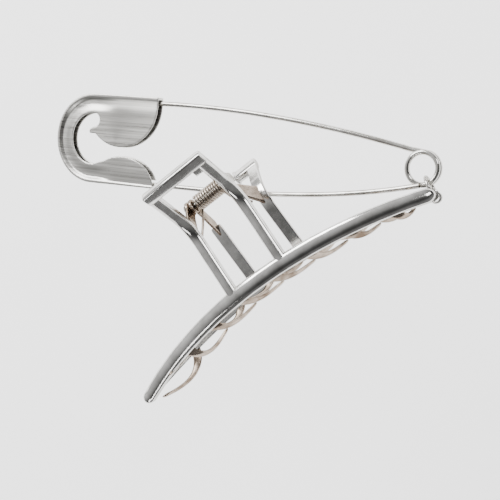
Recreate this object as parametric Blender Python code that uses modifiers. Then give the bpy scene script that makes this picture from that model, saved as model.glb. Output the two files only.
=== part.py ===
"""Large metal claw hair clip with a big decorative safety pin linked to one tip.

Units are metres and +Z is up. The clip lies on its side: X runs along the spines, Y points from the
teeth to the finger handles and Z points out of the front jaw. The origin is the middle of the mouth,
where the hair is gripped.
"""
import math

import bmesh
import bpy
from mathutils import Euler, Matrix, Vector

OBJECT_NAME = "claw_hair_clip"

# Clip: overall layout, measured from the hinge axis.
HINGE_Y = 0.040                 # hinge axis above the origin
SPINE_HALF = 0.060              # half the length of a spine
FRONT_LEFT_TIP = 0.063          # the front spine's left tip stands out past the rear one's
SPINE_MID_Y = -0.0350           # spine centre line below the hinge, mid length
SPINE_SAG = 0.0092              # how far the tips hang below the middle
REAR_RAISE = 0.0022             # the rear spine nests this much higher, except at its right tip
SPINE_TIP_Z = 0.0036            # half the gap between spine centre lines at the tips
SPINE_BOW = 0.0092              # extra half gap at mid length
SPINE_WIDTH = 0.0054
SPINE_DEPTH = 0.0028
POST_X = 0.0101                 # post centre lines, each side of the middle
POST_WIDTH = 0.0040
POST_DEPTH = 0.0026
FRONT, REAR = 1, -1             # the side of the middle plane that a jaw lies on
POST_BEND = {FRONT: (-0.0078, 0.0126), REAR: (-0.0083, 0.0085)}   # y, distance from the middle plane
FLARE_TOP = {FRONT: (0.0044, 0.0264), REAR: (0.0030, 0.0187)}     # the same, for the bar's centre
BEND_REACH = 0.0065             # how far the bend's curve runs each way
STUB_REACH = 0.0072             # the rear handle's short bar, from its post towards the middle
STUB_LIP = 0.0035
LIP_DEPTH = 0.0010
LIP_WIDTH = 0.0045
BAR_WIDTH = 0.0041
BAR_DEPTH = 0.0030
BAR_CHAMFER = 0.0006
TAB_SIZE = 0.0026
TAB_DEPTH = 0.0016

# Hinge: lugs in pairs on a rivet, with the spring between them.
PIN_RADIUS = 0.0010
RIVET_HEAD_RADIUS = 0.0021
RIVET_HEAD_DEPTH = 0.0007
BORE_RADIUS = 0.0013
BOSS_RADIUS = 0.0027
LUG_DEPTH = 0.0013
WEB_DEPTH = 0.0011
WEB_STRAIGHT = 0.2              # the share of the web that stays in line with its boss
LUG_FOOT = {FRONT: ((-0.0075, 0.0134), (-0.0140, 0.0122)),        # where a lug enters its post
            REAR: ((-0.0060, 0.0100), (-0.0130, 0.0086))}
LUG_X = {FRONT: (-0.0112, 0.0059), REAR: (-0.0095, 0.0043)}     # left and right bosses
SPRING_MEAN_RADIUS = 0.0025
SPRING_WIRE_RADIUS = 0.00045
SPRING_TURNS = 11
SPRING_ENDS = (-0.0078, 0.0029)
POINTS_PER_TURN = 10

# Teeth.
TOOTH_PITCH = 0.0136
TOOTH_LEAN = 0.45               # sideways travel for each unit of reach
TOOTH_REACH = 0.0215
TOOTH_CLEARANCE = 0.0014        # tip to the opposite spine
TOOTH_ROOT_WIDTH = 0.0040
TOOTH_DIP = 0.0019              # how far a tooth sags between the spines
LEFT_TOOTH_DIP = 0.0020          # more towards the left end
TOOTH_TIP_SCALE = 0.38
FRONT_FIRST_X = -0.0315         # where the first tooth crosses the middle plane
REAR_FIRST_X = -0.0247
TEETH_PER_JAW = {FRONT: 7, REAR: 6}     # the evenly spaced ones
END_TOOTH_X = -0.0455
END_TOOTH_REACH = 0.0215
END_TOOTH_DEPTH = 0.0074

# Tip eye, link ring and safety pin. The pin's own frame has its origin at the coil's centre, its
# cap towards -X and +Y up to the arm that the cap is fixed to.
EYE = Vector((0.0582, -0.0448, -0.0043))
EYE_RADIUS = 0.0019
EYE_DEPTH = 0.0024
EYE_BORE_RADIUS = 0.0012
RING_RADIUS = 0.0036
RING_WIRE_RADIUS = 0.0006
RING_Z = -0.0047
COIL_CENTRE = Vector((0.0599, -0.0348, -0.0055))
COIL_CONTACT = Vector((0.0589, -0.0399, -0.0055))   # where the ring takes hold of the coil
COIL_RADIUS = 0.0052
WIRE_RADIUS = 0.00085
COIL_PITCH = 0.0020
PIN_TURN = 35                   # the pin's slope, down to the right, degrees
PIN_TILT = 7.3                  # how much its cap leans back, degrees
ARM_END = 0.1130
ARM_CURVE = (0.0049, 0.325, -1.15)            # height over the reach: constant, linear, square
NEEDLE_START = 0.0006
NEEDLE_END = 0.1260
NEEDLE_POINT_START = 0.0950
NEEDLE_CURVE = (-COIL_RADIUS, -0.145, 2.25, -6.5)
NEEDLE_DRIFT = (0.0017, -0.1576, 2.438, -10.27)   # sideways place over the reach
CAP_CENTRE = Vector((-0.1283, 0.0144, 0.0))
CAP_SLOPE = -6.4                # the cap's own slope in the pin's frame, degrees
CAP_RADIUS = 0.0167             # outside of the bend, which is also half the cap's height
CAP_HOLE_RADIUS = 0.0095
CAP_LENGTH = 0.0286             # from the bend's centre to the open end
CAP_DEPTH = 0.0034
CAP_SHEET = 0.0006
CAP_RIM = 0.0009
SLOT_HEIGHT = 0.0024            # the gap in the back sheet that lets the needle out

SILVER = (0.78, 0.77, 0.75)
DARK_SILVER = (0.62, 0.60, 0.58)


def clear_scene():
    for obj in list(bpy.data.objects):
        bpy.data.objects.remove(obj, do_unlink=True)


def make_collection(name):
    collection = bpy.data.collections.new(name)
    bpy.context.scene.collection.children.link(collection)
    return collection


def make_material(name, colour, roughness):
    material = bpy.data.materials.new(name)
    material.use_nodes = True
    shader = material.node_tree.nodes["Principled BSDF"]
    shader.inputs["Base Color"].default_value = (*colour, 1.0)
    shader.inputs["Metallic"].default_value = 1.0
    shader.inputs["Roughness"].default_value = roughness
    return material


def hide_guide(obj):
    obj.hide_render = True
    obj.display_type = "WIRE"


def link_to(obj, collection):
    collection.objects.link(obj)
    return obj


def curve_to_mesh(curve_obj, collection):
    """Replace a curve object by a welded mesh object with the same name."""
    bpy.context.view_layer.update()
    evaluated = curve_obj.evaluated_get(bpy.context.evaluated_depsgraph_get())
    mesh = bpy.data.meshes.new_from_object(evaluated)
    name = curve_obj.name
    matrix = curve_obj.matrix_world.copy()
    bpy.data.objects.remove(curve_obj)
    bm = bmesh.new()
    bm.from_mesh(mesh)
    bmesh.ops.remove_doubles(bm, verts=bm.verts, dist=0.00001)
    bmesh.ops.recalc_face_normals(bm, faces=bm.faces)
    bm.to_mesh(mesh)
    bm.free()
    obj = link_to(bpy.data.objects.new(name, mesh), collection)
    obj.matrix_world = matrix
    return obj


def new_curve(name, points, radii=None, cyclic=False, flat=False):
    data = bpy.data.curves.new(name, "CURVE")
    data.dimensions = "2D" if flat else "3D"
    spline = data.splines.new("POLY")
    spline.points.add(len(points) - 1)
    for index, point in enumerate(points):
        spline.points[index].co = (*point, 1.0)
        spline.points[index].radius = radii[index] if radii else 1.0
    spline.use_cyclic_u = cyclic
    return data


def wire(name, points, radius, collection, radii=None, cyclic=False, resolution=2):
    data = new_curve(name, points, radii, cyclic)
    data.bevel_depth = radius
    data.bevel_resolution = resolution
    data.use_fill_caps = not cyclic
    return curve_to_mesh(link_to(bpy.data.objects.new(name, data), collection), collection)


def sweep(name, points, profile, collection, radii=None):
    """A bar with a constant-shape section: the profile's x lies across Z, its y towards +Z."""
    data = new_curve(name, points, radii)
    data.twist_mode = "Z_UP"
    data.bevel_mode = "OBJECT"
    data.bevel_object = profile
    data.use_fill_caps = True
    return curve_to_mesh(link_to(bpy.data.objects.new(name, data), collection), collection)


def plate(name, outline, depth, collection):
    data = new_curve(name, [(x, y, 0.0) for x, y in outline], cyclic=True, flat=True)
    data.fill_mode = "BOTH"
    data.extrude = depth / 2
    return curve_to_mesh(link_to(bpy.data.objects.new(name, data), collection), collection)


def cylinder(name, radius, depth, location, rotation, collection, sides=24):
    bm = bmesh.new()
    turn = Matrix.Translation(location) @ Euler(rotation).to_matrix().to_4x4()
    bmesh.ops.create_cone(bm, cap_ends=True, segments=sides, radius1=radius, radius2=radius,
                          depth=depth, matrix=turn)
    mesh = bpy.data.meshes.new(name)
    bm.to_mesh(mesh)
    bm.free()
    return link_to(bpy.data.objects.new(name, mesh), collection)


def arc(centre, radius, start, end, steps):
    """Points of an arc in a plane, angles in degrees, both ends included."""
    angles = [math.radians(start + (end - start) * i / steps) for i in range(steps + 1)]
    return [(centre[0] + radius * math.cos(a), centre[1] + radius * math.sin(a)) for a in angles]


def boolean(obj, operand, operation):
    modifier = obj.modifiers.new(operation.title(), "BOOLEAN")
    modifier.operation = operation
    modifier.solver = "EXACT"
    if isinstance(operand, bpy.types.Collection):
        modifier.operand_type = "COLLECTION"
        modifier.collection = operand
    else:
        modifier.object = operand


def half_round_profile(name, width, depth, collection, steps=6):
    """A closed section: flat back, short straight sides and a low arched front."""
    side = depth * 0.45
    crown = depth - side
    points = [(-width / 2, -depth / 2), (width / 2, -depth / 2)]
    for i in range(steps + 1):
        angle = math.pi * i / steps
        points.append((width / 2 * math.cos(angle), side - depth / 2 + crown * math.sin(angle)))
    data = new_curve(name, [(x, y, 0.0) for x, y in points], cyclic=True, flat=True)
    profile = link_to(bpy.data.objects.new(name, data), collection)
    hide_guide(profile)
    return profile


def chamfered_profile(name, width, depth, chamfer, collection):
    """A closed rectangle with cut corners."""
    w, d, c = width / 2, depth / 2, chamfer
    points = [(w, -d + c), (w, d - c), (w - c, d), (c - w, d),
              (-w, d - c), (-w, c - d), (c - w, -d), (w - c, -d)]
    data = new_curve(name, [(x, y, 0.0) for x, y in points], cyclic=True, flat=True)
    profile = link_to(bpy.data.objects.new(name, data), collection)
    hide_guide(profile)
    return profile


def spine_y(x, side=FRONT):
    y = SPINE_MID_Y - SPINE_SAG * (x / SPINE_HALF) ** 2
    if side == REAR:
        y += REAR_RAISE * (1 - (max(x, 0.0) / SPINE_HALF) ** 2)
    return y


def spine_z(x):
    return SPINE_TIP_Z + SPINE_BOW * max(0.0, 1 - (x / SPINE_HALF) ** 2) ** 0.9


def spine_scale(x):
    """Width along the spine: full over the middle and narrower at both ends."""
    end = abs(x) / SPINE_HALF
    return 1.0 - 0.16 * end ** 2


def rounded(points, cut, steps=5):
    """The same path with each inner corner replaced by a smooth bend that starts `cut` before it."""
    points = [Vector(p) for p in points]
    path = [points[0]]
    for before, corner, after in zip(points, points[1:], points[2:]):
        start = corner + (before - corner).normalized() * cut
        end = corner + (after - corner).normalized() * cut
        for i in range(steps + 1):
            t = i / steps
            path.append(start.lerp(corner, t).lerp(corner.lerp(end, t), t))
    return path + [points[-1]]


def loft(name, rings, collection):
    """A closed skin over a row of matching point rings, with a flat cap at each end."""
    bm = bmesh.new()
    loops = [[bm.verts.new(p) for p in ring] for ring in rings]
    for low, high in zip(loops, loops[1:]):
        for i in range(len(low)):
            j = (i + 1) % len(low)
            bm.faces.new((low[i], low[j], high[j], high[i]))
    bm.faces.new(loops[0][::-1])
    bm.faces.new(loops[-1])
    bmesh.ops.recalc_face_normals(bm, faces=bm.faces)
    mesh = bpy.data.meshes.new(name)
    bm.to_mesh(mesh)
    bm.free()
    return link_to(bpy.data.objects.new(name, mesh), collection)


def finish(obj, name, material, parent, collection):
    """Name a finished piece, shade it smooth and put it under its empty in the parts collection."""
    obj.name = name
    obj.data.name = name
    obj.data.materials.clear()
    obj.data.materials.append(material)
    obj.data.shade_smooth()
    obj.data.set_sharp_from_angle(angle=math.radians(35))
    for old in list(obj.users_collection):
        old.objects.unlink(obj)
    collection.objects.link(obj)
    obj.parent = parent
    return obj


def make_empty(name, location, rotation, parent, collection):
    empty = link_to(bpy.data.objects.new(name, None), collection)
    empty.location = location
    empty.rotation_euler = rotation
    empty.parent = parent
    return empty


def spine_stations(left):
    """Places along a spine and how far each is round its tip, closer together where the tips round off."""
    steps = 32
    low = SPINE_WIDTH / 2 - left
    high = SPINE_HALF - SPINE_WIDTH / 2
    stations = [(low + (high - low) * i / steps, 0.0) for i in range(steps + 1)]
    tip = [math.sin(math.pi / 2 * i / 4) for i in (1, 2, 3, 3.85)]
    return ([(low - t * SPINE_WIDTH / 2, t) for t in reversed(tip)] + stations
            + [(high + t * SPINE_WIDTH / 2, t) for t in tip])


def make_spine(name, side, profile, collection):
    """The long bowed bar that carries the teeth; side is +1 at the front and -1 at the rear."""
    points = []
    radii = []
    for x, over in spine_stations(FRONT_LEFT_TIP if side == FRONT else SPINE_HALF):
        points.append((x, spine_y(x, side), side * spine_z(x)))
        radii.append(spine_scale(x) * math.sqrt(1 - over ** 2))
    return sweep(name, points, profile, collection, radii)


def post_path(x, side, whole):
    """From inside the spine up to the bend and, on a whole post, out along the flare."""
    foot = Vector((x, SPINE_MID_Y + 0.0010, side * spine_z(POST_X)))
    bend = Vector((x, POST_BEND[side][0], side * POST_BEND[side][1]))
    if not whole:
        return [foot, bend]
    bar = Vector((x, FLARE_TOP[side][0], side * FLARE_TOP[side][1]))
    return rounded([foot, bend, bar + (bar - bend).normalized() * BAR_WIDTH * 0.42], BEND_REACH)


def flare_angle(side):
    """Turn about X that lays a flat bar's width along the flare."""
    top, bend = FLARE_TOP[side], POST_BEND[side]
    return math.atan2(side * (top[1] - bend[1]), top[0] - bend[0])


def make_bar(name, start, end, side, profile, collection):
    """The handle's top bar, between two places along X, with its width along the flare."""
    bar = sweep(name, [(start, 0.0, 0.0), (end, 0.0, 0.0)], profile, collection)
    bar.location = (0.0, FLARE_TOP[side][0], side * FLARE_TOP[side][1])
    bar.rotation_euler = (flare_angle(side), 0.0, 0.0)
    return bar


def make_lug(name, x, post_x, side, collection):
    """A round boss on the hinge axis and a web to its post, slanting where they don't line up."""
    quarter = math.radians(90)
    cylinder(f"{name}_boss", BOSS_RADIUS, LUG_DEPTH, (x, 0.0, 0.0), (0.0, quarter, 0.0), collection)
    start = arc((0.0, 0.0), BOSS_RADIUS * 0.8, 60, 205, 1)
    step = [Vector(a).lerp(Vector(b), WEB_STRAIGHT) for a, b in zip(start, LUG_FOOT[side])]
    half = WEB_DEPTH / 2
    rings = []
    for (near, far), middle in ((start, x), (step, x), (LUG_FOOT[side], post_x)):
        rings.append([(middle - half, near[0], side * near[1]), (middle + half, near[0], side * near[1]),
                      (middle + half, far[0], side * far[1]), (middle - half, far[0], side * far[1])])
    return loft(name, rings, collection)


def tooth_rings(x_middle, side, reach, depth, turn, ease):
    """Oval sections along a tooth that leaves the spine's inside, dips and leans sideways."""
    rings = []
    steps = 9
    z_root = spine_z(x_middle - side * TOOTH_LEAN * spine_z(x_middle))
    for step in range(steps + 1):
        t = step / steps
        z = side * (z_root - reach * t)
        x = x_middle - TOOTH_LEAN * z
        dip = depth * math.sin(math.pi * turn * t ** ease)
        low = spine_y(x, side) - spine_scale(x) * SPINE_WIDTH / 2
        y = low + 0.0016 * (1 - t) ** 4 + 0.0004 - dip
        width = TOOTH_ROOT_WIDTH * (1 - (1 - TOOTH_TIP_SCALE) * t) / 2
        height = 0.0009 - 0.0004 * t
        rings.append([(x + width * math.cos(a), y + height * math.sin(a), z)
                      for a in (math.pi * k / 4 for k in range(8))])
    return rings


def make_teeth(side, collection):
    first = FRONT_FIRST_X if side == FRONT else REAR_FIRST_X
    for index in range(TEETH_PER_JAW[side]):
        x = first + index * TOOTH_PITCH
        far = x + side * TOOTH_LEAN * spine_z(x)
        room = spine_z(x) + spine_z(far) - SPINE_DEPTH / 2 - TOOTH_CLEARANCE
        left = min(1.0, max(0.0, (-x - 0.004) / 0.028))
        depth = TOOTH_DIP + LEFT_TOOTH_DIP * left ** 1.5
        rings = tooth_rings(x, side, min(TOOTH_REACH, room), depth, 0.97, 0.64)
        loft(f"tooth_{index}", rings, collection)
    if side == REAR:
        rings = tooth_rings(END_TOOTH_X, side, END_TOOTH_REACH, END_TOOTH_DEPTH, 0.67, 0.5)
        loft("tooth_end", rings, collection)


def make_front_jaw(guides):
    pieces = make_collection("front_jaw_pieces")
    spine_profile = half_round_profile("front_spine_profile", SPINE_WIDTH, SPINE_DEPTH, guides)
    post_profile = half_round_profile("front_post_profile", POST_WIDTH, POST_DEPTH, guides)
    bar_profile = chamfered_profile("front_bar_profile", BAR_WIDTH, BAR_DEPTH, BAR_CHAMFER, guides)
    jaw = make_spine("front_spine", FRONT, spine_profile, guides)
    for x, boss_x in zip((-POST_X, POST_X), LUG_X[FRONT]):
        sweep("front_post", post_path(x, FRONT, True), post_profile, pieces)
        make_lug("front_lug", boss_x, x, FRONT, pieces)
    end = POST_X + POST_WIDTH * 0.45
    make_bar("front_bar", -end, end, FRONT, bar_profile, pieces)
    make_tab(pieces)
    make_teeth(FRONT, pieces)
    return jaw, pieces


def make_tab(collection):
    """The small square left in the handle's window, in the corner of the bar and the right post."""
    inset = (BAR_WIDTH + TAB_SIZE) / 2 - 0.0003
    angle = flare_angle(FRONT)
    bm = bmesh.new()
    bmesh.ops.create_cube(bm, size=1.0)
    bmesh.ops.scale(bm, vec=(TAB_SIZE, TAB_SIZE, TAB_DEPTH), verts=bm.verts)
    mesh = bpy.data.meshes.new("tab")
    bm.to_mesh(mesh)
    bm.free()
    tab = link_to(bpy.data.objects.new("tab", mesh), collection)
    tab.rotation_euler = (angle, 0.0, 0.0)
    tab.location = (POST_X - (POST_WIDTH + TAB_SIZE) / 2 + 0.0003,
                    FLARE_TOP[FRONT][0] - inset * math.cos(angle),
                    FLARE_TOP[FRONT][1] - inset * math.sin(angle))


def make_rear_jaw(guides):
    pieces = make_collection("rear_jaw_pieces")
    spine_profile = half_round_profile("rear_spine_profile", SPINE_WIDTH, -SPINE_DEPTH, guides)
    post_profile = half_round_profile("rear_post_profile", POST_WIDTH, -POST_DEPTH, guides)
    bar_profile = chamfered_profile("rear_bar_profile", BAR_WIDTH, BAR_DEPTH, BAR_CHAMFER, guides)
    jaw = make_spine("rear_spine", REAR, spine_profile, guides)
    for x, boss_x in zip((-POST_X, POST_X), LUG_X[REAR]):
        sweep("rear_post", post_path(x, REAR, x > 0), post_profile, pieces)
        make_lug("rear_lug", boss_x, x, REAR, pieces)
    stub_end = POST_X - STUB_REACH
    make_bar("stub", stub_end, POST_X + POST_WIDTH * 0.45, REAR, bar_profile, pieces)
    make_bar("stub_lip", stub_end - LIP_DEPTH / 2, stub_end + LIP_DEPTH / 2, REAR,
             chamfered_profile("lip_profile", LIP_WIDTH, STUB_LIP, BAR_CHAMFER, guides), pieces)
    cylinder("tip_eye", EYE_RADIUS, EYE_DEPTH, EYE, (0.0, 0.0, 0.0), pieces)
    make_teeth(REAR, pieces)
    return jaw, pieces


def make_spring(collection):
    """A close coil on the rivet with a leg on the front left post and one on the rear right."""
    start = math.radians(222)
    total = math.radians(138 + 360 * SPRING_TURNS - 222)
    steps = round(total / (2 * math.pi) * POINTS_PER_TURN)
    left, right = SPRING_ENDS
    coil = []
    for i in range(steps + 1):
        angle = start + total * i / steps
        x = left + (right - left) * i / steps
        coil.append((x, SPRING_MEAN_RADIUS * math.cos(angle), SPRING_MEAN_RADIUS * math.sin(angle)))
    front_leg = [(-0.0093, -0.0124, 0.0100), (-0.0084, -0.0085, 0.0057), (-0.0079, -0.0045, 0.0013)]
    rear_leg = [(0.0030, -0.0045, -0.0013), (0.0044, -0.0072, -0.0044), (0.0066, -0.0096, -0.0069)]
    return wire("spring", front_leg + coil + rear_leg, SPRING_WIRE_RADIUS, collection)


def make_rivet(collection):
    """A turned pin with a low head at each end, lying along X."""
    left, right = LUG_X[FRONT]
    shoulder = (right - left + LUG_DEPTH) / 2 + 0.0003
    end = shoulder + RIVET_HEAD_DEPTH
    half = [(0.0, end), (RIVET_HEAD_RADIUS * 0.7, end), (RIVET_HEAD_RADIUS, end - 0.0003),
            (RIVET_HEAD_RADIUS, shoulder), (PIN_RADIUS, shoulder)]
    profile = half + [(r, -z) for r, z in reversed(half)]
    bm = bmesh.new()
    verts = [bm.verts.new((r, 0.0, z)) for r, z in profile]
    for a, b in zip(verts, verts[1:]):
        bm.edges.new((a, b))
    mesh = bpy.data.meshes.new("rivet")
    bm.to_mesh(mesh)
    bm.free()
    rivet = link_to(bpy.data.objects.new("rivet", mesh), collection)
    screw = rivet.modifiers.new("Turn", "SCREW")
    screw.steps = 24
    screw.render_steps = 24
    screw.use_merge_vertices = True
    screw.merge_threshold = 0.00001
    rivet.location.x = (left + right) / 2
    rivet.rotation_euler = (0.0, math.radians(90), 0.0)
    return rivet


def make_ring(collection):
    """A closed round link, standing on the line from the tip's eye to the coil."""
    points = [(RING_RADIUS * math.cos(a), 0.0, RING_RADIUS * math.sin(a))
              for a in (2 * math.pi * i / 36 for i in range(36))]
    return wire("ring", points, RING_WIRE_RADIUS, collection, cyclic=True)


def coil_point(angle):
    """A place on the pin's coil; 0 degrees is the bottom, where the needle side leaves it."""
    turn = math.radians(angle - 90)
    z = COIL_PITCH * (0.75 - angle / 360)
    return (COIL_RADIUS * math.cos(turn), COIL_RADIUS * math.sin(turn), z)


def make_arm(collection):
    """One and a half turns of coil and the fixed arm, which runs up into the cap."""
    points = [coil_point(12 * i) for i in range(44)]
    reach_start = 0.0045
    steps = 30
    for i in range(steps + 1):
        reach = reach_start + (ARM_END - reach_start) * i / steps
        height = ARM_CURVE[0] + ARM_CURVE[1] * reach + ARM_CURVE[2] * reach ** 2
        sideways = -0.75 * COIL_PITCH * (1 - reach / ARM_END)
        points.append((-reach, height, sideways))
    return wire("arm", points, WIRE_RADIUS, collection)


def make_needle(collection):
    """The free arm: bowed, tapering to a point inside the cap's lower lobe."""
    points = []
    radii = []
    steps = 34
    for i in range(steps + 1):
        reach = NEEDLE_START + (NEEDLE_END - NEEDLE_START) * i / steps
        height = sum(c * reach ** n for n, c in enumerate(NEEDLE_CURVE))
        sideways = sum(c * reach ** n for n, c in enumerate(NEEDLE_DRIFT))
        taper = max(0.0, (reach - NEEDLE_POINT_START) / (NEEDLE_END - NEEDLE_POINT_START))
        points.append((-reach, height, sideways))
        radii.append(1.0 - 0.8 * taper)
    return wire("needle", points, WIRE_RADIUS, collection, radii)


def ellipse(centre, across, up, start, end, steps):
    angles = [math.radians(start + (end - start) * i / steps) for i in range(steps + 1)]
    return [(centre[0] + across * math.cos(a), centre[1] + up * math.sin(a)) for a in angles]


def cap_outline():
    """The folded cap seen from the front: a round bend with two lobes that face each other."""
    lower_lobe = ellipse((0.0147, -0.0167), 0.0141, 0.0110, 2, 126, 14)
    hole = arc((0.0, 0.0), CAP_HOLE_RADIUS, 276, 88, 24)
    notch = arc((0.0001, 0.0069), 0.0027, 78, -55, 8)
    hook = [(-0.0004, 0.0040), (-0.0014, 0.0034), (-0.0018, 0.0026), (-0.0013, 0.0018)]
    upper_lobe = ellipse((0.0124, 0.0130), 0.0162, 0.0155, -134, 0, 18)
    bend = arc((0.0, 0.0), CAP_RADIUS, 90, 270, 26)
    return lower_lobe + hole + notch + hook + upper_lobe + [(CAP_LENGTH, CAP_RADIUS)] + bend


def make_cap(guides):
    """Two sheets joined by a rim: the outline in full depth, less the channel between them."""
    cap = plate("cap", cap_outline(), CAP_DEPTH, guides)
    bevel = cap.modifiers.new("Rim", "BEVEL")
    bevel.width = 0.0004
    bevel.segments = 2
    bevel.limit_method = "ANGLE"
    bevel.angle_limit = math.radians(60)
    inner = CAP_RADIUS - CAP_RIM
    beyond = CAP_LENGTH + 0.006
    channel_outline = arc((0.0, 0.0), inner, 90, 270, 26) + [(beyond, -inner), (beyond, inner)]
    channel = plate("cap_channel", channel_outline, CAP_DEPTH - 2 * CAP_SHEET, guides)
    slot_top = SLOT_HEIGHT - inner
    slot_outline = [(0.0035, -inner), (beyond, -inner), (beyond, slot_top), (0.0035, slot_top)]
    slot = plate("cap_slot", slot_outline, CAP_SHEET * 3, guides)
    slot.location.z = -CAP_DEPTH / 2
    for cutter in (channel, slot):
        hide_guide(cutter)
        cutter.parent = cap
        boolean(cap, cutter, "DIFFERENCE")
    return cap


def main():
    clear_scene()
    parts = make_collection(OBJECT_NAME)
    guides = make_collection("guides")
    polished = make_material("polished_plate", SILVER, 0.12)
    satin = make_material("brushed_plate", DARK_SILVER, 0.28)
    steel = make_material("spring_steel", DARK_SILVER, 0.2)

    hinge = make_empty("hinge_axis", (0.0, HINGE_Y, 0.0), (0.0, 0.0, 0.0), None, guides)
    for maker, name in ((make_front_jaw, "front_jaw"), (make_rear_jaw, "rear_jaw")):
        jaw, pieces = maker(guides)
        boolean(jaw, pieces, "UNION")
        bore = cylinder(f"{name}_bore", BORE_RADIUS, 0.030, (0, 0, 0), (0, math.radians(90), 0), guides)
        hide_guide(bore)
        bore.parent = hinge
        boolean(jaw, bore, "DIFFERENCE")
        if name == "rear_jaw":
            eye_bore = cylinder("eye_bore", EYE_BORE_RADIUS, 0.010, EYE, (0.0, 0.0, 0.0), guides)
            hide_guide(eye_bore)
            eye_bore.parent = hinge
            boolean(jaw, eye_bore, "DIFFERENCE")
        for piece in pieces.objects:
            hide_guide(piece)
            piece.parent = hinge
        finish(jaw, name, polished, hinge, parts)
    finish(make_rivet(guides), "hinge_rivet", steel, hinge, parts)
    finish(make_spring(guides), "torsion_spring", steel, hinge, parts)

    across = Vector((COIL_CONTACT.x - EYE.x, COIL_CONTACT.y - EYE.y, 0.0)).normalized()
    eye_axis = make_empty("ring_axis", EYE, (0.0, 0.0, 0.0), hinge, guides)
    ring = finish(make_ring(guides), "link_ring", polished, eye_axis, parts)
    ring.location = across * RING_RADIUS + Vector((0.0, 0.0, RING_Z - EYE.z))
    ring.rotation_euler = (0.0, 0.0, math.atan2(across.y, across.x))

    swing_axis = make_empty("pin_swing_axis", COIL_CONTACT, (0.0, 0.0, 0.0), hinge, guides)
    pin_turn = (0.0, math.radians(-PIN_TILT), math.radians(-PIN_TURN))
    pin = make_empty("pin_frame", COIL_CENTRE - COIL_CONTACT, pin_turn, swing_axis, guides)
    finish(make_arm(guides), "pin_arm", polished, pin, parts)
    finish(make_needle(guides), "pin_needle", polished, pin, parts)
    cap = finish(make_cap(guides), "pin_cap", satin, pin, parts)
    cap.location = CAP_CENTRE
    cap.rotation_euler = (0.0, 0.0, math.radians(CAP_SLOPE))


main()
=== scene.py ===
"""Looks for the claw hair clip with its decorative safety pin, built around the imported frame."""
import math

import bmesh
import bpy
from mathutils import Euler, Matrix, Vector


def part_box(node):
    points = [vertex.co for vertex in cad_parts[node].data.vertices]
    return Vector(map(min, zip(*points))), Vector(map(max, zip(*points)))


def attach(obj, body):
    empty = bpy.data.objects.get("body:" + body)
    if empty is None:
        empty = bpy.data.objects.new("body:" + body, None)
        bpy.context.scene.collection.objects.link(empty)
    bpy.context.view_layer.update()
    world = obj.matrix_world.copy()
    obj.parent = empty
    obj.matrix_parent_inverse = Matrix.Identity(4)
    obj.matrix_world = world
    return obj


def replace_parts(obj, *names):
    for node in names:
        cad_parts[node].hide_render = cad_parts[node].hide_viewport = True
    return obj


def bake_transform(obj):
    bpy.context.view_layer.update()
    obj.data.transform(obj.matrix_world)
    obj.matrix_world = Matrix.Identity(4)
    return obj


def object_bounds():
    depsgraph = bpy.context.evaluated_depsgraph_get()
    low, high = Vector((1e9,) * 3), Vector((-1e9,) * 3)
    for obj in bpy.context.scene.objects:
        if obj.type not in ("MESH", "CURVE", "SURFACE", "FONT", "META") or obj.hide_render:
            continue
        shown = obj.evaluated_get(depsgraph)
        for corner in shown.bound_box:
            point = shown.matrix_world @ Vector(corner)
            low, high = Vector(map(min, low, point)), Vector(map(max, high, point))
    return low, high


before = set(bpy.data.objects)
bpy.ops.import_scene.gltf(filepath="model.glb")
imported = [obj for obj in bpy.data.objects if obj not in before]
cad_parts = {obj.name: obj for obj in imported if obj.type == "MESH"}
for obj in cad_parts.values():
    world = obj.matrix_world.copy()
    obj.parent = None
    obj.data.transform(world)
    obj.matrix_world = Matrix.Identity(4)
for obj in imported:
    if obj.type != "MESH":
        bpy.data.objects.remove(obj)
cad_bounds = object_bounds()

# Sizes that the CAD part states: lengths in metres, places from the hinge axis, angles in degrees.
HINGE = Vector((0.0, 0.040, 0.0))
FRONT, REAR = 1, -1
SPINE_HALF = 0.060
LEFT_TIP = {FRONT: 0.063, REAR: 0.060}
SPINE_MID_Y = -0.0350
SPINE_SAG = 0.0092
REAR_RAISE = 0.0022
SPINE_TIP_Z = 0.0036
SPINE_BOW = 0.0092
SPINE_ARCH_POWER = 0.9
SPINE_NARROWING = 0.16
SPINE_WIDTH = 0.0054
SPINE_DEPTH = 0.0028
POST_X = 0.0101
POST_WIDTH = 0.0040
POST_DEPTH = 0.0026
POST_ROOT_RISE = 0.0010
POST_BEND = {FRONT: (-0.0078, 0.0126), REAR: (-0.0083, 0.0085)}
FLARE_TOP = {FRONT: (0.0044, 0.0264), REAR: (0.0030, 0.0187)}
BEND_REACH = 0.0065
STUB_REACH = 0.0072
STUB_LIP = 0.0035
LIP_DEPTH = 0.0010
LIP_WIDTH = 0.0045
BAR_WIDTH = 0.0041
BAR_DEPTH = 0.0030
TAB_SIZE = 0.0026
TAB_DEPTH = 0.0016
TAB_OVERLAP = 0.0003
RIVET_RADIUS = 0.0010
RIVET_HEAD_RADIUS = 0.0021
BOSS_RADIUS = 0.0027
LUG_DEPTH = 0.0013
LUG_X = {FRONT: (-0.0112, 0.0059), REAR: (-0.0095, 0.0043)}
WEB_DEPTH = 0.0011
WEB_STRAIGHT = 0.2
WEB_GRIP = 0.8
WEB_ANGLES = (60, 205)
BORE_RADIUS = 0.0013
LUG_FOOT = {FRONT: ((-0.0075, 0.0134), (-0.0140, 0.0122)),
            REAR: ((-0.0060, 0.0100), (-0.0130, 0.0086))}
SPRING_MEAN_RADIUS = 0.0025
SPRING_WIRE_RADIUS = 0.00045
SPRING_TURNS = 11
SPRING_ENDS = (-0.0078, 0.0029)
SPRING_ANGLES = (222, 138)
SPRING_FRONT_LEG = [(-0.0093, -0.0124, 0.0100), (-0.0084, -0.0085, 0.0057),
                    (-0.0079, -0.0045, 0.0013)]
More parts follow.
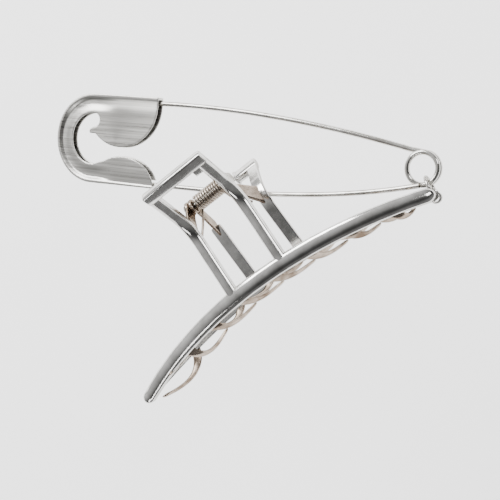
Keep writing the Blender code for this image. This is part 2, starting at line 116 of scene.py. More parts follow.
SPRING_REAR_LEG = [(0.0030, -0.0045, -0.0013), (0.0044, -0.0072, -0.0044),
                   (0.0066, -0.0096, -0.0069)]
TOOTH_PITCH = 0.0136
TOOTH_LEAN = 0.45
TOOTH_REACH = 0.0215
TOOTH_CLEARANCE = 0.0014
TOOTH_ROOT_WIDTH = 0.0040
TOOTH_DIP = 0.0019
LEFT_TOOTH_DIP = 0.0020
LEFT_DIP_FROM = 0.004
LEFT_DIP_SPAN = 0.028
LEFT_DIP_POWER = 1.5
TOOTH_CURVE = (0.97, 0.64)
TOOTH_ROOT_RISE = 0.0016
TOOTH_SINK = 0.0004
TOOTH_HALF_HEIGHT = 0.0009
TOOTH_HEIGHT_LOSS = 0.0004
TOOTH_TIP_SCALE = 0.38
FIRST_TOOTH_X = {FRONT: -0.0315, REAR: -0.0247}
TEETH_PER_JAW = {FRONT: 7, REAR: 6}
END_TOOTH = (-0.0455, 0.0215, 0.0074)
END_TOOTH_CURVE = (0.67, 0.5)
EYE = Vector((0.0582, -0.0448, -0.0043))
EYE_RADIUS = 0.0019
EYE_DEPTH = 0.0024
EYE_BORE_RADIUS = 0.0012
RING_RADIUS = 0.0036
RING_WIRE_RADIUS = 0.0006
RING_Z = -0.0047
COIL_CENTRE = Vector((0.0599, -0.0348, -0.0055))
COIL_CONTACT = Vector((0.0589, -0.0399, -0.0055))
COIL_RADIUS = 0.0052
COIL_PITCH = 0.0020
COIL_LIFT = 0.75
COIL_STEP = 4
COIL_POINTS = 130
WIRE_RADIUS = 0.00085
PIN_TURN = 35
PIN_TILT = 7.3
ARM_START = 0.0045
ARM_END = 0.1130
ARM_CURVE = (0.0049, 0.325, -1.15)
NEEDLE_START = 0.0006
NEEDLE_END = 0.1260
NEEDLE_POINT_START = 0.0950
NEEDLE_CURVE = (-COIL_RADIUS, -0.145, 2.25, -6.5)
NEEDLE_DRIFT = (0.0017, -0.1576, 2.438, -10.27)
CAP_CENTRE = Vector((-0.1283, 0.0144, 0.0))
CAP_SLOPE = -6.4
CAP_RADIUS = 0.0167

# Details that only the looks have.
WALL_SHARE = 0.42
SPINE_RIDGE = 0.80
POST_RIDGE = 0.85
POST_END_SCALE = 0.86
BAR_CUT = 0.0007
BAR_END_SCALE = 0.90
LIP_CUT = 0.0003
RIM_EASE = 0.0003
TAB_EASE = 0.00025
TOOTH_ROUND = 0.1
TOOTH_LEAST_END = 0.02
NEEDLE_TAPER = 0.8
RIVET_HEAD_DEPTH = 0.0007
RIVET_CROWN_RADIUS = 0.0013
RIVET_DOME = 0.0008
RIVET_FLAT = (0.0006, 0.0001)
SMOOTH_ANGLE = 38.0
SMOOTH_ANGLE_PLATE = 50.0

# The cap's front sheet: heights, and the distances over which each one comes in.
CAP_VOXEL = 0.00020
CAP_SMOOTHING = (0.5, 5)
FRONT_SHEET = (0.0, 0.0010)
RIM_HEIGHT = 0.0002
RIM_BAND = (0.0009, 0.0015)
HOLLOW_DEPTH = 0.0006
HOLLOW_FALL = (0.0012, 0.0024)
HOLLOW_RISE = (0.0034, 0.0068)
LOBE_SPAN = (0.002, 0.012)
CROWN_HEIGHT = 0.0003
CROWN_SPAN = (0.001, 0.006)

# Material grain: noise scales per metre, bump heights in metres.
EDGE_TINT = (0.50, 0.49, 0.47, 1.0)
CLOUD_SCALE = 160.0
SCRATCH_SCALE, SCRATCH_STRETCH = 2600.0, (0.08, 1.0, 1.0)
SCRATCH_BUMP, SCRATCH_HEIGHT = 0.05, 0.00004
WAVE_SCALE, WAVE_HEIGHT = 120.0, 0.0010
BRUSH_SCALE, BRUSH_STRETCH = 1500.0, (0.012, 1.0, 0.4)
BRUSH_BUMP, BRUSH_HEIGHT = 0.22, 0.00006
BRUSH_GLOSS = (0.22, 0.40)
SHEET_WAVE_SCALE, SHEET_WAVE_BUMP, SHEET_WAVE_HEIGHT = 90.0, 0.12, 0.0008
PAPER_SCALE, PAPER_GLOW = 300.0, 1.9

# Stage, light and camera. The gap is room for the rear jaw, which swings back and down as it opens.
FLOOR_GAP = 0.060
FLOOR_HALF = 1.6
SKY_AXIS = (-0.25, 0.90, 0.20)
SKY_STOPS = [(0.0, 0.30), (0.22, 0.24), (0.42, 0.05), (0.54, 0.12), (0.70, 0.55), (0.86, 1.0)]
SKY_STRENGTH = 0.9
LAMPS = [("key", (-0.10, 0.80, 0.50), (0.6, 0.4), 10.0),
         ("fill", (0.65, 0.10, 0.55), (0.2, 0.4), 2.0),
         ("strip", (-0.55, -0.35, 0.45), (0.10, 0.5), 1.0)]
CAMERA_RIGHT = Vector((0.757, -0.546, -0.359))
CAMERA_BACK = Vector((0.330, -0.156, 0.931))
CAMERA_PLACE = Vector((0.1027, -0.0327, 0.2941))
CAMERA_LENS = 68.3
CAMERA_SENSOR = 36.0
CAMERA_CLIP = 0.01

X_AXIS = Vector((1.0, 0.0, 0.0))
Y_AXIS = Vector((0.0, 1.0, 0.0))

PIN_MATRIX = (Matrix.Translation(HINGE + COIL_CENTRE)
              @ Euler((0.0, math.radians(-PIN_TILT), math.radians(-PIN_TURN))).to_matrix().to_4x4())
CAP_MATRIX = (PIN_MATRIX @ Matrix.Translation(CAP_CENTRE)
              @ Matrix.Rotation(math.radians(CAP_SLOPE), 4, "Z"))


# ---- materials ---------------------------------------------------------------------------------

def new_material(name):
    material = bpy.data.materials.new(name)
    material.use_nodes = True
    nodes = material.node_tree.nodes
    shader = nodes["Principled BSDF"]
    shader.inputs["Metallic"].default_value = 1.0
    shader.inputs["Specular Tint"].default_value = EDGE_TINT
    coords = nodes.new("ShaderNodeTexCoord")
    return material, shader, coords


def noise(material, coords, scale, stretch=(1, 1, 1), detail=4.0, roughness=0.55, turn=None):
    """A noise texture on object coordinates; a small stretch value draws the grain out along it."""
    nodes, links = material.node_tree.nodes, material.node_tree.links
    mapping = nodes.new("ShaderNodeMapping")
    mapping.inputs["Scale"].default_value = stretch
    source = coords.outputs["Object"]
    if turn:
        turned = nodes.new("ShaderNodeMapping")
        turned.inputs["Rotation"].default_value = turn
        links.new(source, turned.inputs["Vector"])
        source = turned.outputs["Vector"]
    links.new(source, mapping.inputs["Vector"])
    texture = nodes.new("ShaderNodeTexNoise")
    texture.inputs["Scale"].default_value = scale
    texture.inputs["Detail"].default_value = detail
    texture.inputs["Roughness"].default_value = roughness
    links.new(mapping.outputs["Vector"], texture.inputs["Vector"])
    return texture


def ramp(material, source, stops):
    nodes, links = material.node_tree.nodes, material.node_tree.links
    node = nodes.new("ShaderNodeValToRGB")
    elements = node.color_ramp.elements
    while len(elements) < len(stops):
        elements.new(0.5)
    for element, (place, colour) in zip(elements, stops):
        element.position = place
        element.color = (*colour, 1.0)
    links.new(source, node.inputs["Fac"])
    return node


def remap(material, source, low, high, out_low, out_high):
    nodes, links = material.node_tree.nodes, material.node_tree.links
    node = nodes.new("ShaderNodeMapRange")
    node.inputs["From Min"].default_value = low
    node.inputs["From Max"].default_value = high
    node.inputs["To Min"].default_value = out_low
    node.inputs["To Max"].default_value = out_high
    links.new(source, node.inputs["Value"])
    return node


def bump(material, shader, source, strength, distance, under=None):
    nodes, links = material.node_tree.nodes, material.node_tree.links
    node = nodes.new("ShaderNodeBump")
    node.inputs["Strength"].default_value = strength
    node.inputs["Distance"].default_value = distance
    links.new(source, node.inputs["Height"])
    if under:
        links.new(under.outputs["Normal"], node.inputs["Normal"])
    links.new(node.outputs["Normal"], shader.inputs["Normal"])
    return node


def polished_metal(name, light, dark, smooth, rough, wave):
    """Bright plating: cloudy tone, fine wiped scratches and the slow waves of a buffed casting."""
    material, shader, coords = new_material(name)
    links = material.node_tree.links
    cloud = noise(material, coords, CLOUD_SCALE)
    tone = ramp(material, cloud.outputs["Fac"], [(0.32, dark), (0.62, light)])
    links.new(tone.outputs["Color"], shader.inputs["Base Color"])
    scratches = noise(material, coords, SCRATCH_SCALE, SCRATCH_STRETCH, 2.0)
    gloss = remap(material, scratches.outputs["Fac"], 0.3, 0.75, smooth, rough)
    links.new(gloss.outputs["Result"], shader.inputs["Roughness"])
    slow = noise(material, coords, WAVE_SCALE, detail=1.0)
    waves = bump(material, shader, slow.outputs["Fac"], wave, WAVE_HEIGHT)
    bump(material, shader, scratches.outputs["Fac"], SCRATCH_BUMP, SCRATCH_HEIGHT, waves)
    return material


def brushed_metal(name, light, dark, turn):
    """Fine brushing along the turned X, in lines of uneven tone and depth."""
    material, shader, coords = new_material(name)
    links = material.node_tree.links
    lines = noise(material, coords, BRUSH_SCALE, BRUSH_STRETCH, 5.0, 0.7, turn)
    tone = ramp(material, lines.outputs["Fac"], [(0.30, dark), (0.66, light)])
    links.new(tone.outputs["Color"], shader.inputs["Base Color"])
    gloss = remap(material, lines.outputs["Fac"], 0.25, 0.75, *BRUSH_GLOSS)
    links.new(gloss.outputs["Result"], shader.inputs["Roughness"])
    shader.inputs["Anisotropic"].default_value = 0.35
    slow = noise(material, coords, SHEET_WAVE_SCALE, detail=1.0)
    waves = bump(material, shader, slow.outputs["Fac"], SHEET_WAVE_BUMP, SHEET_WAVE_HEIGHT)
    bump(material, shader, lines.outputs["Fac"], BRUSH_BUMP, BRUSH_HEIGHT, waves)
    return material


def floor_paper(name):
    """Pale paper that glows a little, so that shadows stay soft."""
    material, shader, coords = new_material(name)
    shader.inputs["Metallic"].default_value = 0.0
    shader.inputs["Roughness"].default_value = 0.7
    shader.inputs["Emission Color"].default_value = (1.0, 1.0, 1.0, 1.0)
    shader.inputs["Emission Strength"].default_value = PAPER_GLOW
    grain = noise(material, coords, PAPER_SCALE)
    stops = [(0.3, (0.92, 0.92, 0.92)), (0.7, (0.95, 0.95, 0.95))]
    tone = ramp(material, grain.outputs["Fac"], stops)
    material.node_tree.links.new(tone.outputs["Color"], shader.inputs["Base Color"])
    return material


PLATE = polished_metal("silver_plate", (0.78, 0.77, 0.75), (0.54, 0.53, 0.51), 0.09, 0.20, 0.16)
TEETH = polished_metal("tooth_plate", (0.44, 0.37, 0.31), (0.15, 0.11, 0.08), 0.12, 0.26, 0.22)
WIRE = polished_metal("drawn_wire", (0.66, 0.65, 0.62), (0.44, 0.42, 0.39), 0.10, 0.24, 0.08)
SPRING = polished_metal("spring_wire", (0.52, 0.46, 0.40), (0.24, 0.19, 0.15), 0.14, 0.30, 0.05)
BRUSHED = brushed_metal("brushed_sheet", (0.70, 0.69, 0.66), (0.36, 0.35, 0.33),
                        CAP_MATRIX.inverted().to_euler())


# ---- mesh helpers ------------------------------------------------------------------------------

def add_object(name, mesh, material, body, sharp=SMOOTH_ANGLE):
    """A finished piece. A blended piece has no body here, and one with no angle is smooth all over."""
    mesh.materials.append(material)
    mesh.shade_smooth()
    if sharp:
        mesh.set_sharp_from_angle(angle=math.radians(sharp))
    obj = bpy.data.objects.new(name, mesh)
    bpy.context.scene.collection.objects.link(obj)
    if body:
        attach(obj, body)
    return obj


def circle(count):
    return [2 * math.pi * k / count for k in range(count)]


def ring_mesh(name, rings, closed=False):
    """A skin over matching rings of points; open rows get a cap at each end."""
    count = len(rings[0])
    points = [tuple(p) for ring in rings for p in ring]
    faces = []
    rows = len(rings)
    for row in range(rows if closed else rows - 1):
        after = (row + 1) % rows
        for i in range(count):
            j = (i + 1) % count
            faces.append((row * count + i, row * count + j, after * count + j, after * count + i))
    if not closed:
        faces.append(tuple(reversed(range(count))))
        faces.append(tuple(range((rows - 1) * count, rows * count)))
    mesh = bpy.data.meshes.new(name)
    mesh.from_pydata(points, [], faces)
    bm = bmesh.new()
    bm.from_mesh(mesh)
    bmesh.ops.recalc_face_normals(bm, faces=bm.faces)
    bm.to_mesh(mesh)
    bm.free()
    return mesh


def sweep(name, path, profile, across, scales):
    """Profile x lies along `across`, profile y along the normal that leans to +Z."""
    path = [Vector(p) for p in path]
    rings = []
    for index, point in enumerate(path):
        before = path[max(index - 1, 0)]
        after = path[min(index + 1, len(path) - 1)]
        along = (after - before).normalized()
        u = (across - across.dot(along) * along).normalized()
        v = along.cross(u)
        if v.z < 0:
            v.negate()
        rings.append([point + (u * x + v * y) * scales[index] for x, y in profile])
    return ring_mesh(name, rings)


def wire(name, path, radius, scales=None, closed=False, sides=16):
    """A round wire whose section is carried along the path without twisting."""
    path = [Vector(p) for p in path]
    normal = Vector((0.0, 0.0, 1.0))
    rings = []
    for index, point in enumerate(path):
        before = path[index - 1] if index or closed else point
        after = path[(index + 1) % len(path)] if index + 1 < len(path) or closed else point
        along = (after - before).normalized()
        normal = normal - normal.dot(along) * along
        if normal.length < 0.2:
            normal = along.orthogonal()
        normal.normalize()
        side = along.cross(normal)
        size = radius * (scales[index] if scales else 1.0)
        rings.append([point + (normal * math.cos(a) + side * math.sin(a)) * size
                      for a in circle(sides)])
    return ring_mesh(name, rings, closed)


def crowned(width, depth, ridge):
    """A bar section: flat back with eased corners, short sides and an arched front."""
    steps = 16
    ease = min(width, depth) * 0.10
    wall = depth * WALL_SHARE - depth / 2
    points = [(-width / 2, -depth / 2 + ease), (-width / 2 + ease, -depth / 2),
              (width / 2 - ease, -depth / 2), (width / 2, -depth / 2 + ease)]
    for i in range(steps + 1):
        a = math.pi * i / steps
        points.append((width / 2 * math.cos(a), wall + (depth / 2 - wall) * math.sin(a) ** ridge))
    return points


def chamfered(width, depth, cut, steps=3):
    """A rectangle with rounded corners."""
    points = []
    for sx, sy, start in ((1, 1, 0), (-1, 1, 90), (-1, -1, 180), (1, -1, 270)):
        for i in range(steps + 1):
            a = math.radians(start + 90 * i / steps)
            points.append((sx * (width / 2 - cut) + cut * math.cos(a),
                           sy * (depth / 2 - cut) + cut * math.sin(a)))
    return points


def rounded(points, cut):
    """A path whose inner corners become smooth bends that start `cut` from each corner."""
    steps = 14
    points = [Vector(p) for p in points]
    path = [points[0]]
    for before, corner, after in zip(points, points[1:], points[2:]):
        start = corner + (before - corner).normalized() * cut
        end = corner + (after - corner).normalized() * cut
        for i in range(steps + 1):
            t = i / steps
            path.append(start.lerp(corner, t).lerp(corner.lerp(end, t), t))
    return path + [points[-1]]


def plate_mesh(name, outline, depth, place, bevel):
    """A flat plate with its edges eased, from an outline in its own XY plane."""
    bm = bmesh.new()
    face = bm.faces.new([bm.verts.new((x, y, -depth / 2)) for x, y in outline])
    grown = bmesh.ops.extrude_face_region(bm, geom=[face])
    top = [v for v in grown["geom"] if isinstance(v, bmesh.types.BMVert)]
    bmesh.ops.translate(bm, verts=top, vec=(0.0, 0.0, depth))
    bmesh.ops.recalc_face_normals(bm, faces=bm.faces)
    rims = [e for e in bm.edges if abs(e.verts[0].co.z - e.verts[1].co.z) < depth / 4]
    bmesh.ops.bevel(bm, geom=rims, offset=bevel, segments=3, affect="EDGES", profile=0.5)
    bmesh.ops.transform(bm, matrix=place, verts=bm.verts)
    bmesh.ops.recalc_face_normals(bm, faces=bm.faces)
    mesh = bpy.data.meshes.new(name)
    bm.to_mesh(mesh)
    bm.free()
    return mesh


# ---- jaws --------------------------------------------------------------------------------------

def spine_y(x, side):
    y = SPINE_MID_Y - SPINE_SAG * (x / SPINE_HALF) ** 2
    if side == REAR:
        y += REAR_RAISE * (1 - (max(x, 0.0) / SPINE_HALF) ** 2)
    return y


def spine_z(x):
    return SPINE_TIP_Z + SPINE_BOW * max(0.0, 1 - (x / SPINE_HALF) ** 2) ** SPINE_ARCH_POWER


def spine_scale(x):
    return 1.0 - SPINE_NARROWING * (x / SPINE_HALF) ** 2


def facing(profile, side):
    """The section turned over for the rear jaw, so that its arch looks outwards."""
    return profile if side == FRONT else [(x, -y) for x, y in profile]


def make_spine(side, body):
    steps = 120
    low = SPINE_WIDTH / 2 - LEFT_TIP[side]
    high = SPINE_HALF - SPINE_WIDTH / 2
    stations = [(low + (high - low) * i / steps, 0.0) for i in range(steps + 1)]
    tip = [math.sin(math.pi / 2 * i / 10) for i in range(1, 10)] + [0.999]
    stations = ([(low - t * SPINE_WIDTH / 2, t) for t in reversed(tip)] + stations
                + [(high + t * SPINE_WIDTH / 2, t) for t in tip])
    path = [HINGE + Vector((x, spine_y(x, side), side * spine_z(x))) for x, _ in stations]
    scales = [spine_scale(x) * math.sqrt(1 - over ** 2) for x, over in stations]
    profile = facing(crowned(SPINE_WIDTH, SPINE_DEPTH, SPINE_RIDGE), side)
    return add_object(f"{body}_spine", sweep(body, path, profile, Y_AXIS, scales), PLATE, body)


def bar_centre(x, side):
    return HINGE + Vector((x, FLARE_TOP[side][0], side * FLARE_TOP[side][1]))


def flare(side):
    """The direction of the handle above the post's bend."""
    top, bend = FLARE_TOP[side], POST_BEND[side]
    return Vector((0.0, top[0] - bend[0], side * (top[1] - bend[1]))).normalized()


def make_post(x, side, body, whole, name):
    foot = HINGE + Vector((x, SPINE_MID_Y + POST_ROOT_RISE, side * spine_z(POST_X)))
    bend = HINGE + Vector((x, POST_BEND[side][0], side * POST_BEND[side][1]))
    if whole:
        top = bar_centre(x, side) + flare(side) * BAR_WIDTH * 0.42
        path = rounded([foot, bend, top], BEND_REACH)
    else:
        path = [foot, foot.lerp(bend, 0.97), bend]
    full = len(path) - 1
    scales = [1.0 if whole or i < full else POST_END_SCALE for i in range(len(path))]
    profile = facing(crowned(POST_WIDTH, POST_DEPTH, POST_RIDGE), side)
    add_object(name, sweep(name, path, profile, X_AXIS, scales), PLATE, body)


def make_bar(name, start, end, side, body, width, depth, cut):
    path = [bar_centre(x, side) for x in (start, start + cut, end - cut, end)]
    scales = [BAR_END_SCALE, 1.0, 1.0, BAR_END_SCALE]
    mesh = sweep(name, path, chamfered(width, depth, cut), flare(side), scales)
    add_object(name, mesh, PLATE, body)


def make_lug(name, x, post_x, side, body):
    """A round boss with eased edges and a web that widens and slants to its post."""
    half = LUG_DEPTH / 2
    ease = RIM_EASE
    section = [(BORE_RADIUS, -half), (BOSS_RADIUS - ease, -half), (BOSS_RADIUS, -half + ease),
               (BOSS_RADIUS, half - ease), (BOSS_RADIUS - ease, half), (BORE_RADIUS, half)]
    rings = [[HINGE + Vector((x + w, r * math.cos(a), r * math.sin(a))) for r, w in section]
             for a in circle(40)]
    add_object(f"{name}_boss", ring_mesh(f"{name}_boss", rings, True), TEETH, body,
               SMOOTH_ANGLE_PLATE)
    start = [Vector((math.cos(a), math.sin(a))) * BOSS_RADIUS * WEB_GRIP
             for a in map(math.radians, WEB_ANGLES)]
    foot = [Vector(p) for p in LUG_FOOT[side]]
    profile = chamfered(1.0, 1.0, 0.2, 4)
    rings = []
    steps = 24
    for i in range(steps + 1):
        t = i / steps
        near, far = start[0].lerp(foot[0], t), start[1].lerp(foot[1], t)
        slant = max(0.0, (t - WEB_STRAIGHT) / (1 - WEB_STRAIGHT))
        middle = x + (post_x - x) * slant
        ring = []
        for u, w in profile:
            spot = near.lerp(far, u + 0.5)
            ring.append(HINGE + Vector((middle + w * WEB_DEPTH, spot.x, side * spot.y)))
        rings.append(ring)
    add_object(name, ring_mesh(name, rings), TEETH, body, SMOOTH_ANGLE_PLATE)


def make_tooth(name, x_middle, side, body, reach, depth, turn, ease):
    """A curved claw from the spine's lower edge towards the other jaw, narrowing to a round tip."""
    rings = []
    steps = 30
    z_root = spine_z(x_middle - side * TOOTH_LEAN * spine_z(x_middle))
    for step in range(steps + 1):
        t = step / steps
        z = side * (z_root - reach * t)
        x = x_middle - TOOTH_LEAN * z
        dip = depth * math.sin(math.pi * turn * t ** ease)
        low = spine_y(x, side) - spine_scale(x) * SPINE_WIDTH / 2
        y = low + TOOTH_ROOT_RISE * (1 - t) ** 4 + TOOTH_SINK - dip
        past = max(0.0, (t - (1 - TOOTH_ROUND)) / TOOTH_ROUND)
        end = math.sqrt(max(TOOTH_LEAST_END, 1 - past ** 2))
        width = TOOTH_ROOT_WIDTH * (1 - (1 - TOOTH_TIP_SCALE) * t) / 2 * end
        height = (TOOTH_HALF_HEIGHT - TOOTH_HEIGHT_LOSS * t) * end
        rings.append([HINGE + Vector((x + width * math.cos(a), y + height * math.sin(a), z))
                      for a in circle(20)])
    add_object(name, ring_mesh(name, rings), TEETH, body)


def make_teeth(side, body):
    for index in range(TEETH_PER_JAW[side]):
        x = FIRST_TOOTH_X[side] + index * TOOTH_PITCH
        far = x + side * TOOTH_LEAN * spine_z(x)
        room = spine_z(x) + spine_z(far) - SPINE_DEPTH / 2 - TOOTH_CLEARANCE
        left = min(1.0, max(0.0, (-x - LEFT_DIP_FROM) / LEFT_DIP_SPAN))
        dip = TOOTH_DIP + LEFT_TOOTH_DIP * left ** LEFT_DIP_POWER
        reach = min(TOOTH_REACH, room)
        make_tooth(f"{body}_tooth_{index}", x, side, body, reach, dip, *TOOTH_CURVE)
    if side == REAR:
        x, reach, depth = END_TOOTH
        make_tooth(f"{body}_tooth_end", x, side, body, reach, depth, *END_TOOTH_CURVE)


def make_tab(body):
    """The small square plate in the upper right corner of the handle's window."""
    inset = (BAR_WIDTH + TAB_SIZE) / 2 - TAB_OVERLAP
    half = TAB_SIZE / 2
    outline = [(-half, -half), (half, -half), (half, half), (-half, half)]
    rise = flare(FRONT)
    out = X_AXIS.cross(rise)
    x = POST_X - (POST_WIDTH + TAB_SIZE) / 2 + TAB_OVERLAP
    place = Matrix((X_AXIS, rise, out)).transposed().to_4x4()
    place.translation = bar_centre(x, FRONT) - rise * inset
    mesh = plate_mesh("window_tab", outline, TAB_DEPTH, place, TAB_EASE)
    add_object("window_tab", mesh, PLATE, body, SMOOTH_ANGLE_PLATE)


def make_eye():
    """The loop at the rear spine's tip that the link hangs in."""
    half = EYE_DEPTH / 2
    ease = RIM_EASE
    inner, outer = EYE_BORE_RADIUS, EYE_RADIUS
    section = [(inner + ease, -half), (outer - ease, -half), (outer, -half + ease),
               (outer, half - ease), (outer - ease, half), (inner + ease, half),
               (inner, half - ease), (inner, -half + ease)]
    rings = [[HINGE + EYE + Vector((r * math.cos(a), r * math.sin(a), z)) for r, z in section]
             for a in circle(32)]
    add_object("tip_eye", ring_mesh("tip_eye", rings, True), PLATE, "rear_jaw")


def make_jaws():
    front, rear = "front_jaw", "rear_jaw"
    end = POST_X + POST_WIDTH * 0.45
    stub = POST_X - STUB_REACH
    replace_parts(make_spine(FRONT, front), front)
    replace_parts(make_spine(REAR, rear), rear)
    for side, body in ((FRONT, front), (REAR, rear)):
        for hand, x, boss_x in zip(("left", "right"), (-POST_X, POST_X), LUG_X[side]):
            whole = side == FRONT or x > 0
            make_post(x, side, body, whole, f"{body}_post_{hand}")
            make_lug(f"{body}_lug_{hand}", boss_x, x, side, body)
        make_teeth(side, body)
    make_bar("handle_bar", -end, end, FRONT, front, BAR_WIDTH, BAR_DEPTH, BAR_CUT)
    make_bar("rear_stub", stub, end, REAR, rear, BAR_WIDTH, BAR_DEPTH, BAR_CUT)
    make_bar("stub_lip", stub - LIP_DEPTH / 2, stub + LIP_DEPTH / 2, REAR, rear, LIP_WIDTH,
             STUB_LIP, LIP_CUT)
    make_tab(front)
    make_eye()


# ---- hinge -------------------------------------------------------------------------------------

def make_spring():
    """The coil and its two legs, swept as one round wire and left on no body."""
    first, last = SPRING_ANGLES
    start = math.radians(first)
    total = math.radians(last + 360 * SPRING_TURNS - first)
    steps = 360
    left, right = SPRING_ENDS
    coil = []
    for i in range(steps + 1):
        a = start + total * i / steps
        coil.append((left + (right - left) * i / steps, SPRING_MEAN_RADIUS * math.cos(a),
                     SPRING_MEAN_RADIUS * math.sin(a)))
    path = [HINGE + Vector(p) for p in SPRING_FRONT_LEG + coil + SPRING_REAR_LEG]
    mesh = wire("spring_coil", path, SPRING_WIRE_RADIUS, sides=10)
    spring = add_object("spring_coil", mesh, SPRING, None)
    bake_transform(spring)
    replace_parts(spring, "torsion_spring")


def make_rivet():
    """A turned pin with low domed heads."""
    low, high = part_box("hinge_rivet")
    half = (high.x - low.x) / 2
    middle = HINGE + X_AXIS * (high.x + low.x) / 2
    shoulder = half - RIVET_HEAD_DEPTH
    stations = [(0.0, RIVET_RADIUS), (shoulder, RIVET_RADIUS), (shoulder, RIVET_HEAD_RADIUS)]
    for i in range(1, 7):
        a = math.pi / 2 * i / 6
        stations.append((shoulder + RIVET_HEAD_DEPTH * math.sin(a),
                         RIVET_CROWN_RADIUS + RIVET_DOME * math.cos(a)))
    stations += [(half, radius) for radius in RIVET_FLAT]
    row = [(-x, r) for x, r in reversed(stations[1:])] + stations
    rings = [[middle + Vector((x, r * math.cos(a), r * math.sin(a))) for a in circle(32)]
             for x, r in row]
    rivet = add_object("rivet_turned", ring_mesh("rivet_turned", rings), WIRE, "front_jaw")
    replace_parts(rivet, "hinge_rivet")


def make_link():
    """A closed round link on the line from the tip's eye to the coil."""
    across = Vector((COIL_CONTACT.x - EYE.x, COIL_CONTACT.y - EYE.y, 0.0)).normalized()
    centre = HINGE + EYE + across * RING_RADIUS + Vector((0.0, 0.0, RING_Z - EYE.z))
    path = [centre + (across * math.cos(a) + Vector((0, 0, 1)) * math.sin(a)) * RING_RADIUS
            for a in circle(64)]
    mesh = wire("link_wire", path, RING_WIRE_RADIUS, closed=True)
    link = add_object("link_wire", mesh, WIRE, "link_ring")
    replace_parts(link, "link_ring")


# ---- safety pin --------------------------------------------------------------------------------

def coil_point(angle):
    """A point of the coil in the pin's own frame. The coil sinks from the needle to the arm."""
    turn = math.radians(angle - 90)
    z = COIL_PITCH * (COIL_LIFT - angle / 360)
    return (COIL_RADIUS * math.cos(turn), COIL_RADIUS * math.sin(turn), z)


def make_pin_wires():
    points = [coil_point(COIL_STEP * i) for i in range(COIL_POINTS)]
    steps = 90
    for i in range(steps + 1):
        reach = ARM_START + (ARM_END - ARM_START) * i / steps
        height = ARM_CURVE[0] + ARM_CURVE[1] * reach + ARM_CURVE[2] * reach ** 2
        points.append((-reach, height, -COIL_LIFT * COIL_PITCH * (1 - reach / ARM_END)))
    path = [PIN_MATRIX @ Vector(p) for p in points]
    arm = add_object("pin_wire", wire("pin_wire", path, WIRE_RADIUS), WIRE, "pin")
    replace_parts(arm, "pin_arm")

    path = []
    scales = []
    for i in range(steps + 1):
        reach = NEEDLE_START + (NEEDLE_END - NEEDLE_START) * i / steps
        height = sum(c * reach ** n for n, c in enumerate(NEEDLE_CURVE))
        sideways = sum(c * reach ** n for n, c in enumerate(NEEDLE_DRIFT))
        taper = max(0.0, (reach - NEEDLE_POINT_START) / (NEEDLE_END - NEEDLE_POINT_START))
        path.append(PIN_MATRIX @ Vector((-reach, height, sideways)))
        scales.append(1.0 - NEEDLE_TAPER * taper)
    mesh = wire("needle_wire", path, WIRE_RADIUS, scales)
    needle = add_object("needle_wire", mesh, WIRE, "needle")
    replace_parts(needle, "pin_needle")


def smooth_step(low, high, value):
    t = min(1.0, max(0.0, (value - low) / (high - low)))
    return t * t * (3 - 2 * t)


def cap_relief(x, y):
    """How far the front sheet stands off its flat: rolled rim, hollow band and crowned lobes."""
    if x < 0:
        edge = CAP_RADIUS - math.hypot(x, y)
    else:
        edge = CAP_RADIUS - abs(y)
    rim = RIM_HEIGHT * (1 - smooth_step(*RIM_BAND, edge))
    hollow = -HOLLOW_DEPTH * smooth_step(*HOLLOW_FALL, edge) * (1 - smooth_step(*HOLLOW_RISE, edge))
    lobe = smooth_step(*LOBE_SPAN, x)
    crown = CROWN_HEIGHT * lobe * smooth_step(*CROWN_SPAN, edge)
    return rim + hollow * (1 - lobe) + crown


def make_cap():
    """The folded cap, from the CAD solid's own sheets: eased edges and a shaped front sheet."""
    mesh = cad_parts["pin_cap"].data.copy()
    mesh.transform(CAP_MATRIX.inverted())
    mesh.materials.clear()
    work = bpy.data.objects.new("cap_work", mesh)
    bpy.context.scene.collection.objects.link(work)
    remesh = work.modifiers.new("Skin", "REMESH")
    remesh.mode = "VOXEL"
    remesh.voxel_size = CAP_VOXEL
    remesh.adaptivity = 0.0
    ease = work.modifiers.new("Ease", "SMOOTH")
    ease.factor, ease.iterations = CAP_SMOOTHING
    bpy.context.view_layer.update()
    depsgraph = bpy.context.evaluated_depsgraph_get()
    shape = bpy.data.meshes.new_from_object(work.evaluated_get(depsgraph))
    bpy.data.objects.remove(work)
    for vert in shape.vertices:
        front = smooth_step(*FRONT_SHEET, vert.co.z)
        vert.co.z += front * cap_relief(vert.co.x, vert.co.y)
    shape.transform(CAP_MATRIX)
    cap = add_object("cap_shell", shape, BRUSHED, "pin", None)
    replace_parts(cap, "pin_cap")


# ---- stage, light, camera ----------------------------------------------------------------------

def make_stage():
    low, high = cad_bounds
    centre = ((low[0] + high[0]) / 2, (low[1] + high[1]) / 2)
    bm = bmesh.new()
    bmesh.ops.create_grid(bm, x_segments=4, y_segments=4, size=FLOOR_HALF)
    mesh = bpy.data.meshes.new("floor")
    bm.to_mesh(mesh)
    bm.free()
    mesh.materials.append(floor_paper("pale_paper"))
    floor = bpy.data.objects.new("floor", mesh)
    floor.location = (centre[0], centre[1], low[2] - FLOOR_GAP)
    bpy.context.scene.collection.objects.link(floor)


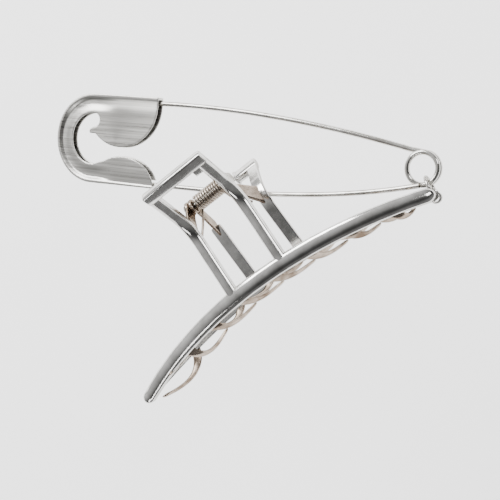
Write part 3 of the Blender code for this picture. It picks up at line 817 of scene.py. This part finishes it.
def area_light(name, place, size, power):
    """A rectangular lamp that faces the origin."""
    data = bpy.data.lights.new(name, "AREA")
    data.shape = "RECTANGLE"
    data.size, data.size_y = size
    data.energy = power
    light = bpy.data.objects.new(name, data)
    light.location = place
    light.rotation_euler = (-Vector(place)).to_track_quat("-Z", "Y").to_euler()
    bpy.context.scene.collection.objects.link(light)


def make_light():
    """A sky that goes from dark to light along one direction, and three lamps."""
    world = bpy.data.worlds.new("studio")
    bpy.context.scene.world = world
    world.use_nodes = True
    nodes, links = world.node_tree.nodes, world.node_tree.links
    coords = nodes.new("ShaderNodeTexCoord")
    dot = nodes.new("ShaderNodeVectorMath")
    dot.operation = "DOT_PRODUCT"
    dot.inputs[1].default_value = SKY_AXIS
    links.new(coords.outputs["Generated"], dot.inputs[0])
    shades = nodes.new("ShaderNodeValToRGB")
    elements = shades.color_ramp.elements
    while len(elements) < len(SKY_STOPS):
        elements.new(0.5)
    for element, (place, level) in zip(elements, SKY_STOPS):
        element.position = place
        element.color = (level, level, level, 1.0)
    spread = nodes.new("ShaderNodeMapRange")
    spread.inputs["From Min"].default_value = -1.0
    links.new(dot.outputs["Value"], spread.inputs["Value"])
    links.new(spread.outputs["Result"], shades.inputs["Fac"])
    links.new(shades.outputs["Color"], nodes["Background"].inputs["Color"])
    nodes["Background"].inputs["Strength"].default_value = SKY_STRENGTH
    for lamp in LAMPS:
        area_light(*lamp)


def make_camera():
    right = CAMERA_RIGHT.normalized()
    back = (CAMERA_BACK - CAMERA_BACK.dot(right) * right).normalized()
    up = back.cross(right)
    data = bpy.data.cameras.new("camera")
    data.sensor_width = CAMERA_SENSOR
    data.lens = CAMERA_LENS
    data.clip_start = CAMERA_CLIP
    camera = bpy.data.objects.new("camera", data)
    place = Matrix((right, up, back)).transposed().to_4x4()
    place.translation = CAMERA_PLACE
    camera.matrix_world = place
    bpy.context.scene.collection.objects.link(camera)
    bpy.context.scene.camera = camera


make_jaws()
make_spring()
make_rivet()
make_link()
make_pin_wires()
make_cap()
make_stage()
make_light()
make_camera()
